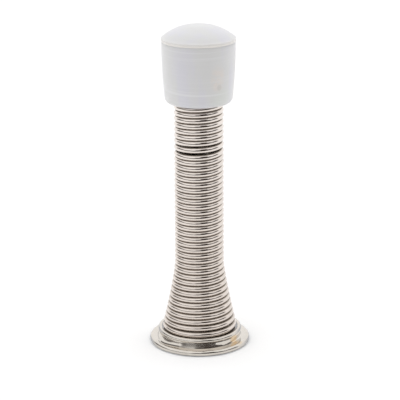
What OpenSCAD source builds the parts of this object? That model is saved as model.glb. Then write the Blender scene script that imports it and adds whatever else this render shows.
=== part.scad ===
/* [Spring] */
// Thickness of the spring wire
wire_d = 1.4; // [1:0.05:1.6]
// Outside diameter of the straight part of the spring
spring_d = 12.3; // [10:0.1:13.5]
// Outside diameter of the last turn, which sits on the base
flare_d = 18.6; // [16.5:0.1:19]
// Clear space between one turn and the next
turn_gap = 0.02; // [0.02:0.01:0.1]
// Turns from the wire's lower end to its upper end
turn_count = 46; // [40:1:50]
// Turns that spread from the straight part down to the last turn
flare_turns = 12; // [8:1:16]

/* [Lean] */
// Turns below the lower one of the two sprung turns
turns_below_lean = 32; // [28:1:34]
// Lean that the lower sprung turn gives to all above it, in degrees
lower_lean = 2.5; // [0:0.1:4]
// Lean that the upper sprung turn adds, in degrees
upper_lean = 1.5; // [0:0.1:4]

/* [Bumper cap] */
// Height of the cap's side, from its mouth to its rim
cap_side_h = 16.4; // [14:0.1:20]
// Rise of the domed end above the rim
cap_dome_h = 3.1; // [2.5:0.1:4.5]
// Diameter over the rim
cap_rim_d = 18.4; // [17:0.1:22]
// Height of the rim
cap_rim_h = 0.9; // [0.5:0.1:1.5]
// Step from the rim in to the top of the side
cap_rim_step = 0.05; // [0.05:0.05:0.4]
// Radius of the groove cut under the rim
cap_groove_r = 0.2; // [0.1:0.05:0.3]
// Bulge of the side beyond a straight taper
cap_belly = 0.2; // [0.1:0.05:0.4]
// Diameter of the side near its lower edge
cap_mouth_d = 16.8; // [15.5:0.1:18]
// Radius of the rounded lower edge
cap_edge_r = 1.6; // [0.8:0.1:2]
// Length of spring held inside the cap
cap_grip = 8.2; // [4:0.1:10]
// Clear space round the spring inside the cap
cap_fit = 0.05; // [0.03:0.01:0.15]

/* [Base] */
// Diameter of the flange that sits against the wall
flange_d = 25; // [23.5:0.1:30]
// Height of the flange
flange_h = 1.4; // [1:0.1:1.8]
// Height of the ledge that the spring's last turn stands on
ledge_h = 3.5; // [3.2:0.1:5]
// Diameter over the bead round the ledge
bead_d = 20.8; // [20:0.1:22]
// Thickness of the bead
bead_thick = 1.1; // [0.9:0.1:1.3]
// Height of the bead's top above the ledge
bead_rise = 0.3; // [0.2:0.05:0.4]
// Diameter of the neck at the middle of the bead
neck_top_d = 20.1; // [19.6:0.1:20.3]
// Diameter of the neck where it meets the flange
neck_low_d = 21.4; // [20.8:0.1:21.8]
// Thickness of the pressed sheet
sheet_t = 0.8; // [0.6:0.05:1]
// Height of the boss inside the spring, above the ledge
boss_rise = 4.4; // [3:0.1:6]
// Clear space between the boss and the wire
boss_fit = 0.1; // [0.05:0.01:0.2]
// Diameter of the screw hole
screw_hole_d = 4.5; // [3.5:0.1:5.5]

/* [Hidden] */
$fn = 96;
// Overrun of every cut
cut = 1;
// Arc radii are whole steps of this length, so that each arc meets the next exactly
radius_step = 0.0001;

// The coil, as half turns that join at the left and the right of the axis
wire_r = wire_d / 2;
top_r = spring_d / 2 - wire_r;
flare_r = flare_d / 2 - wire_r;
pitch = wire_d + turn_gap;
half_turns = turn_count * 2;
flare_half_turns = flare_turns * 2;
// How much of its growth the flare leaves to the lower turns
flare_curve_share = 1.24;
// Rise of the first front half turns, as shares of an even rise
first_rise_shares = [0.4, 0.75];
// Height of the wire's centre at its lower end
wire_start = ledge_h + wire_r + turn_gap;
// The half turns, at the back of the coil, where it leans
lower_sprung = turns_below_lean * 2 + 1;
upper_sprung = lower_sprung + 2;

// Distance of the wire's centre from the axis where half turn k begins
function coil_r(k) = top_r + (flare_r - top_r) * pow(max(0, 1 - k / flare_half_turns), flare_curve_share);
// Rise of the whole turn that begins at half turn k, so that it just clears the turn below
function turn_rise(k) = sqrt(pow(pitch, 2) - pow(coil_r(k) - coil_r(k + 2), 2));
// Part of a turn's rise that its front half takes
function front_share(k) = (k / 2 < len(first_rise_shares) ? first_rise_shares[k / 2] : 1) / 2;
function half_rise(k) = k % 2 == 0
    ? turn_rise(k) * front_share(k)
    : turn_rise(k - 1) * (1 - front_share(k - 1));
// Height of the wire's centre where each half turn begins
coil_z = [for (k = 0, z = wire_start; k <= half_turns; z = z + half_rise(k), k = k + 1) z];

// Half turn k is half of a torus, tilted by its own rise
function side(k) = k % 2 == 0 ? -1 : 1;
function mean_r(k) = (coil_r(k) + coil_r(k + 1)) / 2;
function half_climb(k) = (coil_z[k + 1] - coil_z[k]) / 2;
function climb_angle(k) = atan2(half_climb(k), mean_r(k));
function arc_r(k) = round(norm([mean_r(k), half_climb(k)]) / radius_step) * radius_step;
// The lean that half turn k gives to all above it
function lean(k) = k == lower_sprung ? lower_lean : k == upper_sprung ? upper_lean : 0;
// The back of half turn k, and the way the wire runs there
function back_point(k) =
    [side(k) * (coil_r(k) - coil_r(k + 1)) / 2, arc_r(k), coil_z[k] + half_climb(k)];
function back_run(k) = [-cos(climb_angle(k)), 0, sin(climb_angle(k))];

// The cap, measured from its mouth
cap_rim_r = cap_rim_d / 2;
cap_side_r = cap_rim_r - cap_rim_step;
cap_mouth_r = cap_mouth_d / 2;
cap_h = cap_side_h + cap_dome_h;
cap_bore_r = spring_d / 2 + cap_fit;
dome_r = (pow(cap_rim_r, 2) + pow(cap_dome_h, 2)) / (2 * cap_dome_h);
// The side is an arc from the lower edge to the rim, with its ends as [radius, height]
side_low = [cap_mouth_r, cap_edge_r];
side_high = [cap_side_r, cap_side_h - cap_rim_h];
side_chord = side_high - side_low;
side_arc_r = (pow(norm(side_chord) / 2, 2) + pow(cap_belly, 2)) / (2 * cap_belly);
side_inward = [-side_chord[1], side_chord[0]] / norm(side_chord);
side_centre = (side_low + side_high) / 2 + (side_arc_r - cap_belly) * side_inward;
// Facets in the whole circle of that wide arc
side_arc_fn = 4 * $fn;
// The side starts a little inside the rounded edge, so that the two cross cleanly
side_start_share = 0.9;
// Height of the cap's mouth, before the coil leans
cap_z = coil_z[half_turns] + wire_r - cap_grip;
cap_bore_h = cap_grip + turn_gap;
// Lead-in at the mouth of the bore
cap_lead = wire_r / 2;

// The base
flange_r = flange_d / 2;
bead_r = bead_d / 2;
bead_round = bead_thick / 2;
bead_z = ledge_h + bead_rise - bead_round;
neck_top_r = neck_top_d / 2;
neck_low_r = neck_low_d / 2;
flange_round_share = 0.45;
flange_round = flange_h * flange_round_share;
boss_h = ledge_h + boss_rise;
// The boss follows the inside of the flared turns, from the half turn that ends the first turn
boss_half_turn = 2;
boss_half_turns = 2 * boss_rise / pitch;
boss_low_r = coil_r(boss_half_turn) - wire_r - boss_fit;
boss_top_r = coil_r(boss_half_turn + boss_half_turns) - wire_r - boss_fit;
screw_hole_r = screw_hole_d / 2;

// An arc of wire from the origin, where it runs along Y with the coil's axis on its left
module wire_arc(r, sweep) {
    translate([-r, 0])
        rotate_extrude(angle = sweep)
            translate([r, 0])
                circle(r = wire_r);
}

// Where a quarter turn ends, with the rest of the coil rolled about the wire there
module after_quarter(r, roll) {
    translate([-r, r, 0])
        rotate([0, roll, 90])
            children();
}

module half_turn(k) {
    r = arc_r(k);
    if (lean(k) == 0) {
        wire_arc(r, 180);
    } else {
        wire_arc(r, 90);
        after_quarter(r, lean(k)) wire_arc(r, 90);
    }
}

// Where half turn k ends and the next begins
module after_half_turn(k) {
    r = arc_r(k);
    roll = climb_angle(k) + climb_angle(k + 1);
    if (lean(k) == 0)
        translate([-2 * r, 0, 0]) rotate([0, roll, 180]) children();
    else
        after_quarter(r, lean(k)) after_quarter(r, roll) children();
}

// Each half turn begins where the one below it ends
module at_half_turn(k) {
    if (k == 0)
        translate([-coil_r(0), 0, wire_start]) rotate([0, climb_angle(0), 180]) children();
    else
        at_half_turn(k - 1) after_half_turn(k - 1) children();
}

module spring() {
    color("gainsboro")
        for (k = [0 : half_turns - 1]) at_half_turn(k) half_turn(k);
}

module leant(k) {
    translate(back_point(k))
        rotate(a = lean(k), v = back_run(k))
            translate(-back_point(k))
                children();
}

// Half of the cap's section, with its axis at the left
module cap_outline() {
    rim_low = cap_side_h - cap_rim_h;
    side_start = cap_edge_r * side_start_share;
    difference() {
        union() {
            square([cap_mouth_r - cap_edge_r, cap_edge_r]);
            translate([cap_mouth_r - cap_edge_r, cap_edge_r]) circle(r = cap_edge_r);
            intersection() {
                translate(side_centre) circle(r = side_arc_r, $fn = side_arc_fn);
                translate([0, side_start]) square([cap_rim_r, rim_low - side_start]);
            }
            translate([0, rim_low]) square([cap_rim_r, cap_rim_h]);
            intersection() {
                translate([0, cap_h - dome_r]) circle(r = dome_r);
                translate([0, cap_side_h]) square([cap_rim_r, cap_dome_h]);
            }
        }
        translate([cap_rim_r, rim_low]) circle(r = cap_groove_r);
        translate([-cap_bore_r, -cut]) square([cap_bore_r * 2, cap_bore_h + cut]);
        polygon([
            [0, -cut],
            [cap_bore_r + cap_lead + cut, -cut],
            [cap_bore_r + cap_lead, 0],
            [cap_bore_r, cap_lead],
            [0, cap_lead]
        ]);
    }
}

module bumper_cap() {
    color("whitesmoke")
        leant(lower_sprung)
            leant(upper_sprung)
                translate([0, 0, cap_z])
                    rotate_extrude() cap_outline();
}

// Half of the base's section, with its axis at the left
module base_outline() {
    difference() {
        union() {
            square([flange_r - flange_round, flange_h]);
            translate([0, flange_round]) square([flange_r, flange_h - 2 * flange_round]);
            translate([flange_r - flange_round, flange_round]) circle(r = flange_round);
            translate([flange_r - flange_round, flange_h - flange_round]) circle(r = flange_round);
            polygon([[0, flange_h], [neck_low_r, flange_h], [neck_top_r, bead_z], [0, bead_z]]);
            square([bead_r - bead_round, ledge_h]);
            translate([bead_r - bead_round, bead_z]) circle(r = bead_round);
            polygon([[0, ledge_h], [boss_low_r, ledge_h], [boss_top_r, boss_h], [0, boss_h]]);
        }
        base_inside();
    }
}

// The open space under the pressed sheet
module base_inside() {
    polygon([
        [0, -cut],
        [neck_low_r - sheet_t, -cut],
        [neck_low_r - sheet_t, flange_h],
        [neck_top_r - sheet_t, ledge_h - sheet_t],
        [boss_low_r - sheet_t, ledge_h - sheet_t],
        [boss_top_r - sheet_t, boss_h - sheet_t],
        [0, boss_h - sheet_t]
    ]);
}

module base() {
    color("lightgray")
        difference() {
            rotate_extrude() base_outline();
            translate([0, 0, -cut]) cylinder(r = screw_hole_r, h = boss_h + 2 * cut);
        }
}

base();
spring();
bumper_cap();
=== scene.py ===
"""Spring door stop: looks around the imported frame.

Sizes are in mm and become metres by MM. Places round the part are shares of a turn that starts
at the back and runs by the left: left 0.25, front 0.5, right 0.75. Colours are linear RGBA.
"""
import math
from collections import namedtuple

import bpy
from mathutils import Matrix, Vector


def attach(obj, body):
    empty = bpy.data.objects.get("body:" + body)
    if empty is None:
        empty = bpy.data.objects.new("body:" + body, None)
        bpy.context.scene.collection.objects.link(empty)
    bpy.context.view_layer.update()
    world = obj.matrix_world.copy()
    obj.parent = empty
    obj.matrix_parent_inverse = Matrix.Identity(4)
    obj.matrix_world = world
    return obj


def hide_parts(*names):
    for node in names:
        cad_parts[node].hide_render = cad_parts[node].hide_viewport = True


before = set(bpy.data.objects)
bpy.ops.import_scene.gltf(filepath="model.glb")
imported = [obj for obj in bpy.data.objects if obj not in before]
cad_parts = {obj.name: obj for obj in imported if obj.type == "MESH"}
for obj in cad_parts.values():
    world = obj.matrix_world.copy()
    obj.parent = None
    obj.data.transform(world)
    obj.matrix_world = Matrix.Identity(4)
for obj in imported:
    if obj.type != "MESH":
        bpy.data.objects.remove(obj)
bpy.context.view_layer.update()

MM = 0.001
FRONT = 0.5
WHITE = (1.0, 1.0, 1.0, 1.0)
scene = bpy.context.scene
scene.view_settings.view_transform = "Standard"


# ---- node helpers

Spot = namedtuple("Spot", "turn height half_turn half_height strength")
SPOT_CORE = 0.1


class Graph:
    """A node tree with short calls: an input is a number, a tuple or another node's output."""

    def __init__(self, tree):
        self.tree = tree
        tree.nodes.clear()

    def node(self, kind, **settings):
        made = self.tree.nodes.new(kind)
        for key, value in settings.items():
            setattr(made, key, value)
        return made

    def put(self, socket, value):
        if isinstance(value, bpy.types.NodeSocket):
            self.tree.links.new(value, socket)
        else:
            socket.default_value = value

    def math(self, operation, *inputs, clamp=False):
        made = self.node("ShaderNodeMath", operation=operation, use_clamp=clamp)
        for socket, value in zip(made.inputs, inputs):
            self.put(socket, value)
        return made.outputs[0]

    def times(self, first, second):
        return self.math("MULTIPLY", first, second)

    def step(self, value, low, high, at_low=0.0, at_high=1.0):
        """A smooth change from one level to another between low and high."""
        made = self.node("ShaderNodeMapRange", interpolation_type="SMOOTHSTEP")
        for name, item in (("Value", value), ("From Min", low), ("From Max", high),
                           ("To Min", at_low), ("To Max", at_high)):
            self.put(made.inputs[name], item)
        return made.outputs["Result"]

    def fall(self, value, low, high):
        return self.step(value, low, high, 1.0, 0.0)

    def band(self, value, start, full, last_full, end):
        """One from full to last_full, fading to none at start and end."""
        return self.times(self.step(value, start, full), self.fall(value, last_full, end))

    def spot(self, turn, height, spot):
        """A spot on a turned piece, fading to none at its half sizes from its centre."""
        across = self.math("DIVIDE", self.math("SUBTRACT", turn, spot.turn), spot.half_turn)
        along = self.math("DIVIDE", self.math("SUBTRACT", height, spot.height), spot.half_height)
        away = self.math("ADD", self.times(across, across), self.times(along, along))
        return self.times(self.fall(away, SPOT_CORE, 1.0), spot.strength)

    def mix(self, share, first, second, blend="MIX"):
        made = self.node("ShaderNodeMix", data_type="RGBA", blend_type=blend)
        self.put(made.inputs["Factor"], share)
        colors = [i for i in made.inputs if i.type == "RGBA"]
        self.put(colors[0], first)
        self.put(colors[1], second)
        return next(o for o in made.outputs if o.type == "RGBA")

    def noise(self, vector, scale, detail, roughness=0.5, stretch=None):
        made = self.node("ShaderNodeTexNoise")
        if stretch:
            scaled = self.node("ShaderNodeVectorMath", operation="MULTIPLY")
            self.put(scaled.inputs[0], vector)
            self.put(scaled.inputs[1], stretch)
            vector = scaled.outputs[0]
        self.put(made.inputs["Vector"], vector)
        self.put(made.inputs["Scale"], scale)
        self.put(made.inputs["Detail"], detail)
        self.put(made.inputs["Roughness"], roughness)
        return made.outputs["Fac"]

    def split(self, vector):
        made = self.node("ShaderNodeSeparateXYZ")
        self.put(made.inputs[0], vector)
        return made.outputs

    def coordinates(self, kind):
        return self.node("ShaderNodeTexCoord").outputs[kind]

    def turn_and_height(self):
        """The map of a turned piece: share of a turn, and height in mm."""
        turn, height, _ = self.split(self.coordinates("UV"))
        return turn, self.math("DIVIDE", height, MM)

    def bump(self, height, strength, distance, under=None):
        made = self.node("ShaderNodeBump")
        self.put(made.inputs["Height"], height)
        self.put(made.inputs["Strength"], strength)
        self.put(made.inputs["Distance"], distance)
        if under is not None:
            self.put(made.inputs["Normal"], under)
        return made.outputs[0]

    def finish(self, shader, kind="ShaderNodeOutputMaterial"):
        self.put(self.node(kind).inputs["Surface"], shader.outputs[0])


def material(name):
    made = bpy.data.materials.new(name)
    made.use_nodes = True
    return made, Graph(made.node_tree)


def dress(obj, made):
    obj.data.materials.clear()
    obj.data.materials.append(made)


# ---- metal

WIRE_NICKEL, PLATE_NICKEL = (0.80, 0.735, 0.685), (0.75, 0.715, 0.665)
WIRE_ROUGHNESS, PLATE_ROUGHNESS = (0.03, 0.09), (0.05, 0.11)
WIRE_GRIME_AND_SHADE = 0.9
PLATE_WAVE = 0.10

CLOUDS, CLOUD_RANGE, CLOUD_SHADE = dict(scale=320.0, detail=4.0, roughness=0.6), (0.35, 0.68), 0.93
LINES, LINE_RANGE = dict(scale=3000.0, detail=2.0, stretch=(0.3, 0.3, 4.0)), (0.3, 0.7)
LINE_BUMP, LINE_DEPTH = 0.1, 0.02
WAVES, WAVE_BUMP = dict(scale=170.0, detail=1.0), 1.0
# Grime and painted shade in the gaps between turns: colour, slope range and loss of metal.
GAP_GRIME_AND_SHADE, GRIME_AND_SHADE_SLOPE, GRIME_AND_SHADE_DULLS = (0.28, 0.23, 0.18, 1.0), (0.72, 0.97), 0.9
LOW_DOWN_TINT, LOW_DOWN_HEIGHTS = (0.92, 0.905, 0.89, 1.0), (18.0, 58.0)


def metal(name, color, rough, grime_and_shade=None, wave=None, marks=None):
    """Polished nickel with cloudy tone and fine drawn lines, and darker low down.
    Grime and painted shade lie where the surface faces up or down, and a wave bends the
    reflections."""
    made, g = material(name)
    place = g.coordinates("Object")
    shader = g.node("ShaderNodeBsdfPrincipled")
    lines = g.noise(place, **LINES)
    tint = g.mix(g.step(g.noise(place, **CLOUDS), *CLOUD_RANGE),
                 (*(c * CLOUD_SHADE for c in color), 1.0), (*color, 1.0))
    shader.inputs["Metallic"].default_value = 1.0
    # Grime and painted shade where the wire faces up or down, in the gaps between turns.
    if grime_and_shade:
        normal = g.node("ShaderNodeNewGeometry").outputs["Normal"]
        level = g.step(g.math("ABSOLUTE", g.split(normal)[2]), *GRIME_AND_SHADE_SLOPE)
        grimy_and_shaded = g.times(level, grime_and_shade)
        tint = g.mix(grimy_and_shaded, tint, GAP_GRIME_AND_SHADE)
        g.put(shader.inputs["Metallic"], g.math("SUBTRACT", 1.0, g.times(grimy_and_shaded, GRIME_AND_SHADE_DULLS)))
    # Darker low down, fading out between these heights.
    low_down = g.fall(g.split(place)[2], *(height * MM for height in LOW_DOWN_HEIGHTS))
    tint = g.mix(low_down, tint, LOW_DOWN_TINT, "MULTIPLY")
    roughness = g.step(lines, *LINE_RANGE, *rough)
    # For the base: painted reflection and painted shade, and a duller neck.
    if marks:
        tint, roughness = marks(g, tint, roughness)
    g.put(shader.inputs["Base Color"], tint)
    g.put(shader.inputs["Roughness"], roughness)
    waved = g.bump(g.noise(place, **WAVES), WAVE_BUMP, wave * MM) if wave else None
    g.put(shader.inputs["Normal"], g.bump(lines, LINE_BUMP, LINE_DEPTH * MM, waved))
    g.finish(shader)
    return made


# A painted tan reflection on the neck at the right.
TAN_REFLECTION, PAINTED_TAN_REFLECTION = Spot(0.657, 2.2, 0.03, 1.2, 0.85), (0.70, 0.53, 0.33, 1.0)
# Painted shade: low on the flange's wall, and dark edges where the surface is seen edge on.
PAINTED_SHADE_GREY = (0.20, 0.22, 0.25, 1.0)
FOOT_SHADE_HEIGHTS, FOOT_SHADE = (0.12, 0.42), 0.8
GRAZING_BLEND, GRAZING_RANGE, GRAZING_SHADE = 0.5, (0.72, 0.96), 0.75
# Painted shade on the flanks of the rim and bead.
FLANK_SHADE, FLANK_FROM_FRONT, FLANK_SHADE_SHARE = (0.20, 0.21, 0.24, 1.0), (0.14, 0.23), 0.75
BEAD_BAND, RIM_HEIGHTS = (2.85, 2.95, 3.6, 3.75), (1.1, 1.3)
NECK_BAND, NECK_FROM_FRONT, NECK_DULLNESS = (1.5, 1.7, 2.6, 2.85), (0.045, 0.07), 0.16


def base_painted_light_and_dullness(g, tint, roughness):
    """A painted tan reflection on the neck at the right, painted shade low on the flange's wall and
    where the surface is seen edge on and on the flanks of the rim and bead, and a dull neck at the
    front."""
    turn, height = g.turn_and_height()
    # Painted tan reflection on the neck.
    tint = g.mix(g.spot(turn, height, TAN_REFLECTION), tint, PAINTED_TAN_REFLECTION)
    # Painted shade low on the flange's wall, and painted dark edges where the surface is seen edge
    # on.
    low = g.times(g.fall(height, *FOOT_SHADE_HEIGHTS), FOOT_SHADE)
    facing = g.node("ShaderNodeLayerWeight")
    facing.inputs["Blend"].default_value = GRAZING_BLEND
    grazing_shade = g.times(g.step(facing.outputs["Facing"], *GRAZING_RANGE), GRAZING_SHADE)
    tint = g.mix(g.math("MAXIMUM", low, grazing_shade), tint, PAINTED_SHADE_GREY)
    from_front = g.math("ABSOLUTE", g.math("SUBTRACT", turn, FRONT))
    # Painted shade on the flanks of the rim and bead.
    flank_shade = g.times(g.step(from_front, *FLANK_FROM_FRONT), FLANK_SHADE_SHARE)
    rim_and_bead = g.math("MAXIMUM", g.fall(height, *RIM_HEIGHTS), g.band(height, *BEAD_BAND))
    tint = g.mix(g.times(rim_and_bead, flank_shade), tint, FLANK_SHADE)
    neck = g.times(g.band(height, *NECK_BAND), g.fall(from_front, *NECK_FROM_FRONT))
    return tint, g.math("ADD", roughness, g.times(neck, NECK_DULLNESS))


# ---- rubber of the cap: heights run from the cap's lower edge

LILAC, GREY = (0.76, 0.755, 0.81, 1.0), (0.772, 0.772, 0.772, 1.0)
TONES, TONE_RANGE = dict(scale=150.0, detail=3.0, stretch=(1.0, 1.0, 0.3)), (0.42, 0.6)
BLOTS, BLOT_RANGE = dict(scale=500.0, detail=4.0, roughness=0.65), (0.35, 0.65)
WARM_PATCH, WARM_PATCH_TINT = Spot(0.588, 7.2, 0.045, 4.6, 1.0), (0.82, 0.775, 0.74, 1.0)
DARK_SPOT, SPOT_GREY = Spot(0.597, 5.2, 0.016, 1.0, 0.55), (0.66, 0.65, 0.62, 1.0)
LOW_PATCH, GREENISH = Spot(0.62, 2.2, 0.07, 3.2, 0.7), (0.765, 0.787, 0.745, 1.0)
RUBS = dict(scale=1.0, detail=3.0, roughness=0.6, stretch=(25.0, 25.0, 1100.0))
RUB_RANGE, RUB_WHITE, RUB_SHARE = (0.46, 0.66), (0.90, 0.90, 0.92, 1.0), 0.5
LOW_RUBS, HIGH_RUBS = Spot(0.47, 3.6, 0.2, 1.8, 1.0), Spot(0.5, 13.4, 0.25, 1.6, 0.6)
RUBS_ELSEWHERE = 0.2
# Painted shade under the lip.
UNDER_LIP_SHADE_BAND, UNDER_LIP_SHADE = (14.3, 15.2, 15.25, 15.4), (0.71, 0.71, 0.70, 1.0)
UNDER_LIP_SHADE_SHARE = 0.3
# A painted cream highlight round the lip.
LIP_HIGHLIGHT_BAND, LIP_HIGHLIGHT = (15.3, 15.42, 15.6, 16.7), (0.93, 0.90, 0.86, 1.0)
RUBBER_ROUGHNESS, SHEEN, SHEEN_ROUGHNESS = (0.42, 0.55), 1.0, 0.5
GRAIN, RUB_RELIEF, RUBBER_BUMP, RUBBER_DEPTH = dict(scale=2500.0, detail=2.0), 0.6, 0.25, 0.05


def rubber(name):
    """Pale moulded rubber: lilac and grey tones, level rub marks, a warm patch with a darker
    spot, a greenish patch low down, a painted cream highlight round the lip and painted shade under
    it."""
    made, g = material(name)
    place = g.coordinates("Object")
    turn, height = g.turn_and_height()
    tint = g.mix(g.step(g.noise(place, **TONES), *TONE_RANGE), LILAC, GREY)
    blot = g.step(g.noise(place, **BLOTS), *BLOT_RANGE)
    tint = g.mix(g.times(g.spot(turn, height, WARM_PATCH), blot), tint, WARM_PATCH_TINT)
    tint = g.mix(g.spot(turn, height, DARK_SPOT), tint, SPOT_GREY)
    tint = g.mix(g.spot(turn, height, LOW_PATCH), tint, GREENISH)
    rubbed = g.math("MAXIMUM", g.spot(turn, height, LOW_RUBS), g.spot(turn, height, HIGH_RUBS))
    rubbed = g.math("ADD", g.times(rubbed, 1.0 - RUBS_ELSEWHERE), RUBS_ELSEWHERE)
    rubs = g.times(g.step(g.noise(place, **RUBS), *RUB_RANGE), rubbed)
    tint = g.mix(g.times(rubs, RUB_SHARE), tint, RUB_WHITE)
    # Painted shade under the lip.
    tint = g.mix(g.times(g.band(height, *UNDER_LIP_SHADE_BAND), UNDER_LIP_SHADE_SHARE), tint, UNDER_LIP_SHADE)
    # Painted cream highlight round the lip.
    tint = g.mix(g.band(height, *LIP_HIGHLIGHT_BAND), tint, LIP_HIGHLIGHT)
    shader = g.node("ShaderNodeBsdfPrincipled")
    g.put(shader.inputs["Base Color"], tint)
    shader.inputs["Sheen Weight"].default_value = SHEEN
    shader.inputs["Sheen Roughness"].default_value = SHEEN_ROUGHNESS
    g.put(shader.inputs["Roughness"], g.step(blot, 0.0, 1.0, *RUBBER_ROUGHNESS))
    relief = g.math("ADD", g.noise(place, **GRAIN), g.times(rubs, RUB_RELIEF))
    g.put(shader.inputs["Normal"], g.bump(relief, RUBBER_BUMP, RUBBER_DEPTH * MM))
    g.finish(shader)
    return made


# ---- coil: one wire on a true helix, with the sizes of the part's source

WIRE_R = 0.7
TOP_R, FLARE_R = 5.45, 8.6
PITCH = 1.42
HALF_TURNS, FLARE_HALF_TURNS = 92, 24
FLARE_CURVE = 1.24
FIRST_RISE_SHARES = (0.4, 0.75)
WIRE_START = 4.22
LEANS = ((65.5, 2.5), (67.5, 1.5))  # half turns from the lower end, degrees
STEPS_PER_HALF_TURN = 48
SIDES = 20
END_ROUND = 0.12
NEARBY = 0.01  # half turns, to find the wire's direction


def coil_r(k):
    """The coil's radius k half turns from its lower end."""
    return TOP_R + (FLARE_R - TOP_R) * max(0.0, 1.0 - k / FLARE_HALF_TURNS) ** FLARE_CURVE


def coil_heights():
    """Heights of the wire's centre at the ends of the half turns: each turn just clears the one
    below, and the first ones lie flatter."""
    heights = [WIRE_START]
    for k in range(0, HALF_TURNS, 2):
        rise = math.sqrt(PITCH ** 2 - (coil_r(k) - coil_r(k + 2)) ** 2)
        share = (FIRST_RISE_SHARES[k // 2] if k // 2 < len(FIRST_RISE_SHARES) else 1.0) / 2
        heights += [heights[-1] + rise * share, heights[-1] + rise]
    return heights


HEIGHTS = coil_heights()


def smooth_height(k):
    """A smooth curve through the heights: at each, its slope is that between its neighbours."""
    i = min(int(k), HALF_TURNS - 1)
    t = k - i
    a, b, c, d = (HEIGHTS[min(max(n, 0), HALF_TURNS)] for n in (i - 1, i, i + 1, i + 2))
    if i == 0:
        a = 2 * b - c
    if i == HALF_TURNS - 1:
        d = 2 * c - b
    return b + 0.5 * t * (c - a + t * (2 * a - 5 * b + 4 * c - d + t * (3 * (b - c) + d - a)))


def on_helix(k):
    """The wire's centre k half turns from its lower end, which is at the left."""
    angle = math.pi * (1.0 + k)
    r = coil_r(k)
    return Vector((r * math.cos(angle), r * math.sin(angle), smooth_height(k)))


def direction(k):
    ahead, behind = min(k + NEARBY, HALF_TURNS), max(k - NEARBY, 0.0)
    return (on_helix(ahead) - on_helix(behind)).normalized()


def lean_after(k):
    """What the sprung turns below k do to the wire there."""
    turned = Matrix.Identity(4)
    for at, degrees in LEANS:
        if k > at:
            pivot = on_helix(at)
            twist = Matrix.Rotation(math.radians(degrees), 4, direction(at))
            turned = turned @ Matrix.Translation(pivot) @ twist @ Matrix.Translation(-pivot)
    return turned


def coil_mesh():
    """Rings of points round the wire. Its map is the length along the wire and share of a ring."""
    verts, faces, along = [], [], []
    count = HALF_TURNS * STEPS_PER_HALF_TURN
    leans = {}
    length, before = 0.0, on_helix(0.0)
    for n in range(count + 1):
        k = n / STEPS_PER_HALF_TURN
        passed = sum(k > at for at, _ in LEANS)
        if passed not in leans:
            leans[passed] = lean_after(k)
        centre = on_helix(k)
        run = direction(k)
        up = Vector((centre.x, centre.y, 0.0)).normalized().cross(run).normalized()
        outward = run.cross(up)
        length += (centre - before).length
        before = centre
        along.append(length)
        radius = WIRE_R - (END_ROUND if n in (0, count) else 0.0)
        for m in range(SIDES):
            a = 2 * math.pi * m / SIDES
            point = centre + radius * (math.cos(a) * outward + math.sin(a) * up)
            verts.append(leans[passed] @ point * MM)
    for n in range(count):
        for m in range(SIDES):
            a, b = n * SIDES + m, n * SIDES + (m + 1) % SIDES
            faces.append((a, a + SIDES, b + SIDES, b))
    faces.append(tuple(range(SIDES)))
    faces.append(tuple(count * SIDES + m for m in range(SIDES - 1, -1, -1)))
    made = bpy.data.meshes.new("coil")
    made.from_pydata([tuple(v) for v in verts], [], faces)
    made.polygons.foreach_set("use_smooth", [True] * (len(faces) - 2) + [False, False])
    grid = made.uv_layers.new(name="wire")
    for face in made.polygons:
        closes_ring = face.index < len(faces) - 2 and face.index % SIDES == SIDES - 1
        for corner in face.loop_indices:
            n, m = divmod(made.loops[corner].vertex_index, SIDES)
            share = 1.0 if closes_ring and m == 0 else m / SIDES
            grid.data[corner].uv = (along[n] * MM, share)
    return made


coil = bpy.data.objects.new("coil", coil_mesh())
scene.collection.objects.link(coil)
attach(coil, "root")
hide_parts("spring")


# ---- turned pieces

def turned(name, section, segments, sharp, place=Matrix.Identity(4)):
    """A piece from a closed section for each share of a turn: (radius, height) in mm, run so that
    the solid is at its left. Edges over `sharp` degrees stay sharp. Its map is the share of a
    turn and the height."""
    verts, faces, heights = [], [], []
    count = len(section(0.0))
    for n in range(segments):
        a = 2 * math.pi * n / segments
        for r, z in section(n / segments):
            verts.append(place @ (Vector((-r * math.sin(a), r * math.cos(a), z)) * MM))
            heights.append(z * MM)
    for n in range(segments):
        a, b = n * count, (n + 1) % segments * count
        for m in range(count):
            m2 = (m + 1) % count
            faces.append((a + m, b + m, b + m2, a + m2))
    made = bpy.data.meshes.new(name)
    made.from_pydata([tuple(v) for v in verts], [], faces)
    made.polygons.foreach_set("use_smooth", [True] * len(faces))
    made.set_sharp_from_angle(angle=math.radians(sharp))
    grid = made.uv_layers.new(name="turned")
    for face in made.polygons:
        n = face.index // count
        for corner in face.loop_indices:
            v = made.loops[corner].vertex_index
            on_next = v // count != n
            grid.data[corner].uv = ((n + on_next) / segments, heights[v])
    obj = bpy.data.objects.new(name, made)
    scene.collection.objects.link(obj)
    return obj


def arc(centre, radius, start, end, count):
    """Points of an arc, with its start and end in degrees."""
    angles = (math.radians(start + (end - start) * n / (count - 1)) for n in range(count))
    return [(centre[0] + radius * math.cos(a), centre[1] + radius * math.sin(a)) for a in angles]


# The cap: up its outside from the lower edge over the side, lip and dome, and back in the bore

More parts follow.
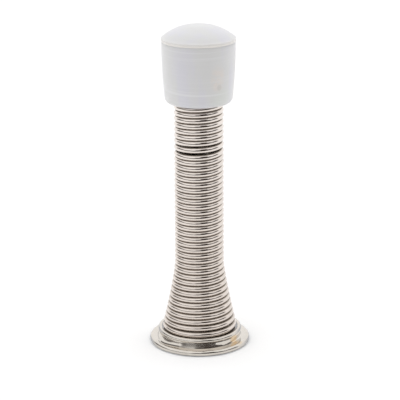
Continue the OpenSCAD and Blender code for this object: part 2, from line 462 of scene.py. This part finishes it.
CAP_SEGMENTS, CAP_SHARP = 128, 50.0
CAP_MOUTH_R, CAP_EDGE_R, CAP_EDGE_POINTS = 8.4, 1.6, 14
CAP_BORE_R, CAP_LEAD, CAP_GRIP, BORE_ROOM = 6.2, 0.35, 8.2, 0.02
CAP_BELLY = 0.2
CAP_SIDE_TOP, UNDER_LIP = (9.08, 15.28), (9.02, 15.34)
LIP_CENTRE, LIP_R, LIP_ARC = (8.97, 15.55), 0.22, (-50, 60, 7)
ABOVE_LIP = [(9.09, 15.80), (9.13, 15.93), (9.165, 16.08)]
CAP_WIDEST, CAP_H, DOME_POWER = (9.18, 16.22), 19.38, 2.43
SIDE_STEPS, DOME_STEPS = 20, 40


def cap_section(_):
    points = [(CAP_BORE_R + CAP_LEAD, 0.0)]
    points += arc((CAP_MOUTH_R - CAP_EDGE_R, CAP_EDGE_R), CAP_EDGE_R, -90, 0, CAP_EDGE_POINTS)
    wide, high = CAP_SIDE_TOP[0] - CAP_MOUTH_R, CAP_SIDE_TOP[1] - CAP_EDGE_R
    for n in range(1, SIDE_STEPS + 1):
        t = n / SIDE_STEPS
        points.append((CAP_MOUTH_R + wide * t + 4 * CAP_BELLY * t * (1 - t), CAP_EDGE_R + high * t))
    points.append(UNDER_LIP)
    points += arc(LIP_CENTRE, LIP_R, *LIP_ARC)
    points += ABOVE_LIP
    for n in range(DOME_STEPS):
        share = math.cos(math.pi / 2 * n / DOME_STEPS)
        dome = (CAP_H - CAP_WIDEST[1]) * (1 - share ** DOME_POWER)
        points.append((CAP_WIDEST[0] * share, CAP_WIDEST[1] + dome))
    points += [(0.0, CAP_H), (0.0, CAP_GRIP + BORE_ROOM), (CAP_BORE_R, CAP_GRIP + BORE_ROOM),
               (CAP_BORE_R, CAP_LEAD)]
    return points


CAP_Z = HEIGHTS[-1] + WIRE_R - CAP_GRIP
lean = lean_after(HALF_TURNS)
lean = Matrix.Translation(lean.translation * MM) @ lean.to_3x3().to_4x4()  # now in metres
cap_place = lean @ Matrix.Translation((0.0, 0.0, CAP_Z * MM))
cap = turned("cap", cap_section, CAP_SEGMENTS, CAP_SHARP, cap_place)
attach(cap, "root")
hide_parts("bumper_cap")


# The base, a pressing. Its neck isn't quite round: the two creases wander to the left of the
# front. Places round it are in degrees from the front, with the left below 0.

BASE_SEGMENTS, BASE_SHARP = 180, 9.5
LEDGE_H, BOSS_H, SHEET, HOLE_R = 3.5, 7.9, 0.8, 2.25
BOSS_CLEARANCE, BOSS_RISE = 0.1, 4.4
BOSS_LOW = coil_r(2) - WIRE_R - BOSS_CLEARANCE
BOSS_TOP = coil_r(2 + 2 * BOSS_RISE / PITCH) - WIRE_R - BOSS_CLEARANCE
BEAD_CENTRE, BEAD_R, BEAD_ARC = (9.85, 3.25), 0.55, (153, -40, 26)
NECK_TOP_R, NECK_TOP_H, NECK_LOW_R = 10.10, 2.80, 10.60
TOP_CREASE_OUT, TOP_CREASE_UP, TOP_CREASE_DOWN = 0.14, 0.06, 0.24
LOW_CREASE_IN, LOW_CREASE_OUT, LOW_CREASE_STEP, LOW_CREASE_UP = 0.02, 0.12, 0.03, 0.27
NECK_SLOPE, FLANK_SLOPE, FLANK_AT, FLANK_MOST = 0.085, 0.045, 60.0, 1.5
LEFT_START, LEFT_END = (-100.0, 8.0), (-24.0, 3.0)  # where, how softly
RIGHT_START, RIGHT_END = (20.5, 4.0), (110.0, 8.0)
LEFT_DROP, LEFT_LIFT, RIGHT_PULL = 0.47, 0.06, 0.17
LOW_BULGES = ((0.75, -57.0, 16.0), (-0.12, -27.0, 6.0), (-0.06, -15.0, 8.0))  # far, where, half
HOLLOW, HOLLOW_PLACE = 0.035, (4.0, 32.0)
FLANGE_R, FLANGE_H, FLANGE_ROUND, FLANGE_EASE = 12.5, 1.4, 0.63, 0.35
ROUND_POINTS = 13
INNER_LOW, INNER_TOP = 9.9, 9.25


def base_section(turn):
    """From the screw hole over the boss, ledge, bead, neck and flange and back inside, and then
    reversed, which puts the solid at the left."""
    front = (turn - FRONT) * 360.0

    def near(at, half):
        return math.exp(-((front - at) / half) ** 2)

    def beyond(at, soft):
        return 1.0 / (1.0 + math.exp(-(front - at) / soft))

    left = (1.0 - beyond(*LEFT_END)) * beyond(*LEFT_START)
    right = beyond(*RIGHT_START) * (1.0 - beyond(*RIGHT_END))
    top_z = NECK_TOP_H - LEFT_DROP * left
    low_r = NECK_LOW_R
    for far, at, half in LOW_BULGES:
        low_r += far * near(at, half)
    low_r -= RIGHT_PULL * right
    slope = NECK_SLOPE + FLANK_SLOPE * min(FLANK_MOST, (front / FLANK_AT) ** 4)
    neck_top = (NECK_TOP_R + slope, top_z - TOP_CREASE_DOWN)
    neck_low = (low_r - slope - LOW_CREASE_IN, FLANGE_H + LOW_CREASE_UP + LEFT_LIFT * left)
    neck_middle = ((neck_top[0] + neck_low[0]) / 2 - HOLLOW * near(*HOLLOW_PLACE),
                   (neck_top[1] + neck_low[1]) / 2)
    round_r = FLANGE_R - FLANGE_ROUND
    points = [(HOLE_R, BOSS_H), (BOSS_TOP, BOSS_H), (BOSS_LOW, LEDGE_H)]
    points += arc(BEAD_CENTRE, BEAD_R, *BEAD_ARC)
    points += [(NECK_TOP_R + TOP_CREASE_OUT, top_z + TOP_CREASE_UP), (NECK_TOP_R, top_z),
               neck_top, neck_middle, neck_low,
               (low_r - LOW_CREASE_IN, FLANGE_H + LOW_CREASE_STEP),
               (low_r + LOW_CREASE_OUT, FLANGE_H), (round_r - FLANGE_EASE, FLANGE_H)]
    points += arc((round_r, FLANGE_H - FLANGE_ROUND), FLANGE_ROUND, 90, 0, ROUND_POINTS)
    points += arc((round_r, FLANGE_ROUND), FLANGE_ROUND, 0, -90, ROUND_POINTS)
    points += [(INNER_LOW, 0.0), (INNER_LOW, FLANGE_H), (INNER_TOP, LEDGE_H - SHEET),
               (BOSS_LOW - SHEET, LEDGE_H - SHEET), (BOSS_TOP - SHEET, BOSS_H - SHEET),
               (HOLE_R, BOSS_H - SHEET)]
    return points[::-1]


base = turned("pressing", base_section, BASE_SEGMENTS, BASE_SHARP)
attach(base, "root")
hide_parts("base")

dress(coil, metal("nickel_wire", WIRE_NICKEL, WIRE_ROUGHNESS, grime_and_shade=WIRE_GRIME_AND_SHADE))
dress(base, metal("nickel_plate", PLATE_NICKEL, PLATE_ROUGHNESS, wave=PLATE_WAVE, marks=base_painted_light_and_dullness))
dress(cap, rubber("cap_rubber"))


# ---- floor: it glows a little where it is seen, directly or mirrored, and the glow lights nothing

FLOOR_HALF_WIDTH, FLOOR_FRONT, FLOOR_BACK = 2000.0, -155.0, 2500.0
FLOOR_WHITE, FLOOR_GLOW = (0.94, 0.94, 0.94, 1.0), 0.14

corners = ((-FLOOR_HALF_WIDTH, FLOOR_FRONT), (FLOOR_HALF_WIDTH, FLOOR_FRONT),
           (FLOOR_HALF_WIDTH, FLOOR_BACK), (-FLOOR_HALF_WIDTH, FLOOR_BACK))
mesh = bpy.data.meshes.new("floor")
mesh.from_pydata([(x * MM, y * MM, 0.0) for x, y in corners], [], [(0, 1, 2, 3)])
floor = bpy.data.objects.new("floor", mesh)
scene.collection.objects.link(floor)
made, g = material("floor_white")
diffuse = g.node("ShaderNodeBsdfDiffuse")
diffuse.inputs["Color"].default_value = FLOOR_WHITE
glow = g.node("ShaderNodeEmission")
path = g.node("ShaderNodeLightPath")
seen = g.math("ADD", path.outputs["Is Camera Ray"], path.outputs["Is Glossy Ray"])
seen = g.math("ADD", seen, path.outputs["Is Transmission Ray"], clamp=True)
g.put(glow.inputs["Strength"], g.times(seen, FLOOR_GLOW))
both = g.node("ShaderNodeAddShader")
g.put(both.inputs[0], diffuse.outputs[0])
g.put(both.inputs[1], glow.outputs[0])
g.finish(both)
dress(floor, made)


# ---- world: a white room with dark parts, at full strength in reflections and weaker elsewhere

# left, right, top and softness in degrees, round from the front and up, and darkness
DARK_PARTS = ((-125.0, -82.0, 26.0, 9.0, 0.88), (-95.0, 95.0, 15.0, 7.0, 0.90),
              (-20.0, 60.0, 33.0, 8.0, 0.94), (4.0, 44.0, 54.0, 7.0, 0.985),
              (40.0, 70.0, 20.0, 8.0, 0.94), (66.0, 98.0, 32.0, 8.0, 0.88))
DARK_FROM = -40.0
DARK_BROWN, DULL_SHARE = (0.03, 0.02, 0.014, 1.0), 0.6
ROOM_STRENGTH = 1.1

world = bpy.data.worlds.new("studio")
scene.world = world
world.use_nodes = True
g = Graph(world.node_tree)
x, y, z = g.split(g.coordinates("Generated"))
DEGREES = math.degrees(1.0)
side = g.times(g.math("ARCTAN2", x, g.times(y, -1.0)), DEGREES)
rise = g.times(g.math("ARCSINE", z), DEGREES)


def dark_part(left, right, top, soft, strength):
    level = strength
    for edge in (g.step(side, left - soft, left + soft),
                 g.fall(side, right - soft, right + soft),
                 g.step(rise, DARK_FROM - soft, DARK_FROM + soft),
                 g.fall(rise, top - soft, top + soft)):
        level = g.times(edge, level)
    return level


dark = dark_part(*DARK_PARTS[0])
for part in DARK_PARTS[1:]:
    dark = g.math("MAXIMUM", dark, dark_part(*part))
path = g.node("ShaderNodeLightPath")
share = g.step(path.outputs["Is Glossy Ray"], 0.0, 1.0, DULL_SHARE, 1.0)
room = g.mix(g.times(dark, share), WHITE, DARK_BROWN)
room = g.mix(path.outputs["Is Camera Ray"], room, WHITE)
sky = g.node("ShaderNodeBackground")
g.put(sky.inputs["Color"], room)
sky.inputs["Strength"].default_value = ROOM_STRENGTH
g.finish(sky, "ShaderNodeOutputWorld")


# ---- camera

CAMERA_AT = Vector((0.21, -640.0, 257.46)) * MM
PITCH_DOWN, ROLL = 19.009, -0.27
FOCAL_PX, FRAME_PX, SENSOR = 2728.0, 400.0, 36.0
CLIP_NEAR, CLIP_FAR = 10.0, 20000.0

lens = bpy.data.cameras.new("camera")
lens.sensor_width = SENSOR
lens.lens = FOCAL_PX / FRAME_PX * SENSOR
lens.clip_start = CLIP_NEAR * MM
lens.clip_end = CLIP_FAR * MM
camera = bpy.data.objects.new("camera", lens)
scene.collection.objects.link(camera)
tilt = Matrix.Rotation(math.radians(90.0 - PITCH_DOWN), 4, "X")
roll = Matrix.Rotation(math.radians(ROLL), 4, "Z")
camera.matrix_world = Matrix.Translation(CAMERA_AT) @ tilt @ roll
scene.camera = camera
